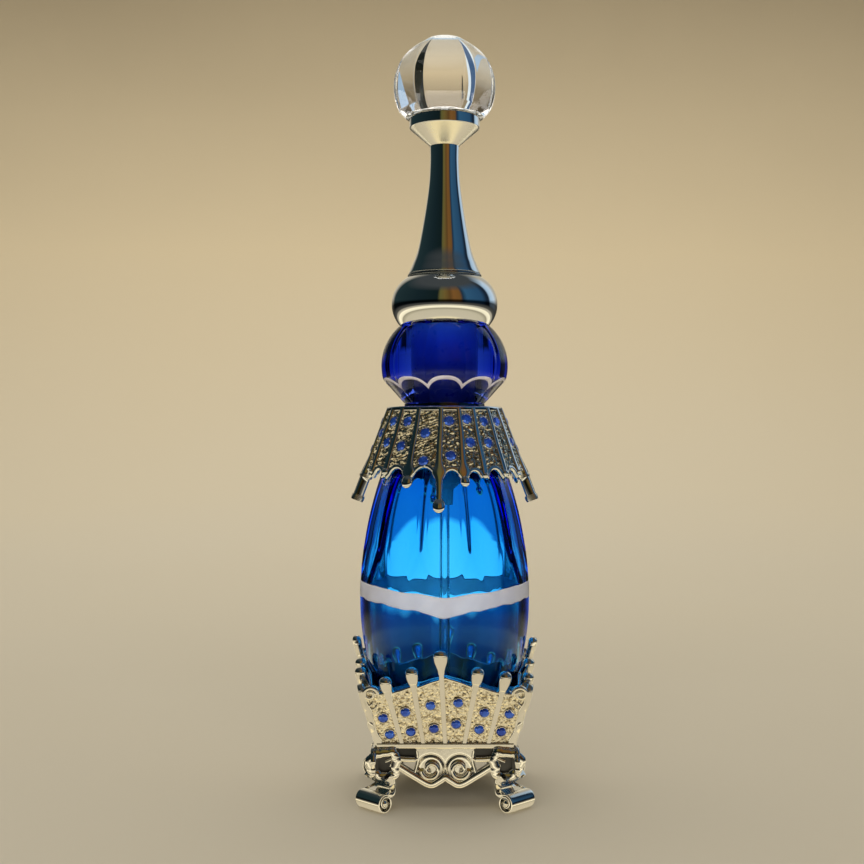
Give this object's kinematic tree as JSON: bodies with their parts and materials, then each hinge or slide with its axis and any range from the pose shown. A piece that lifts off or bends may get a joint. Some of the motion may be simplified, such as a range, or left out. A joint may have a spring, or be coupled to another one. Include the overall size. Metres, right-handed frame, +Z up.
{
  "type": "perfume atomiser",
  "caption": "Fluted glass perfume atomiser on a square stand with pronged crown panels, a flared jewelled collar and a tall pull-off cap with a crystal ball finial over a spray button.",
  "frame": {"origin": "centre of the footprint, on the surface that the four scroll feet stand on", "axes": "+Z up along the bottle's axis, -Y towards the front flute and the spray nozzle, +X to the right"},
  "size_m": [0.0398, 0.0403, 0.162],
  "materials": {
    "glass_blue": "clear blue glass",
    "glass_cobalt": "deep cobalt glass, polished",
    "crystal": "clear polished crystal",
    "plated": "bright rhodium-look plating",
    "plated_grain": "plated, with a grained field between polished ribs",
    "liner": "dark blue moulded liner",
    "enamel": "thin white enamel line and etched band",
    "dark_ring": "dark plated ring",
    "stone": "sapphire blue cut stones",
    "steel": "plain steel",
    "white_plastic": "white polypropylene",
    "clear_tube": "clear polyethylene",
    "rubber": "soft sealing rubber"
  },
  "bodies": {
    "bottle_body": {"bottle": "glass_blue", "neck_gasket": "rubber", "ferrule": "plated", "neck_ring": "plated", "collar": "plated_grain", "collar_stones": "stone", "pump_housing": "white_plastic", "dip_tube": "clear_tube", "stem_guide": "white_plastic", "base_plate": "plated", "seat_pad": "rubber", "crown_front": "plated_grain", "crown_right": "plated_grain", "crown_back": "plated_grain", "crown_left": "plated_grain", "crown_stones": "stone", "apron_front": "plated", "apron_right": "plated", "apron_back": "plated", "apron_left": "plated", "leg_fl": "plated", "leg_fr": "plated", "leg_br": "plated", "leg_bl": "plated", "leg_screws": "steel"},
    "cap": {"crystal_ball": "crystal", "finial_cup": "plated", "trumpet_stem": "plated", "stem_ring": "dark_ring", "bulb": "plated", "glass_bead": "glass_cobalt", "inner_cap": "liner", "tie_rod": "steel"},
    "pump_rod": {"pump_stem": "white_plastic", "piston": "white_plastic", "pump_spring": "steel"},
    "actuator": {"actuator_button": "white_plastic", "nozzle_insert": "white_plastic"},
    "check_ball": {"inlet_ball": "steel"}
  },
  "joints": [
    {"name": "cap_lift", "type": "slide", "parent": "bottle_body", "child": "cap", "axis": [0, 0, 1], "range_m": [0, 0.045]},
    {"name": "pump_press", "type": "slide", "parent": "bottle_body", "child": "pump_rod", "axis": [0, 0, -1], "range_m": [0, 0.0035], "stiffness_N_per_m": 250, "springref_m": -0.004, "deforming": ["pump_spring"]},
    {"name": "actuator_turn", "type": "hinge", "parent": "pump_rod", "child": "actuator", "pos_m": [0, 0, 0.09], "axis": [0, 0, 1], "continuous": true},
    {"name": "check_ball_lift", "type": "slide", "parent": "bottle_body", "child": "check_ball", "axis": [0, 0, 1], "range_m": [0, 0.0007]}
  ]
}
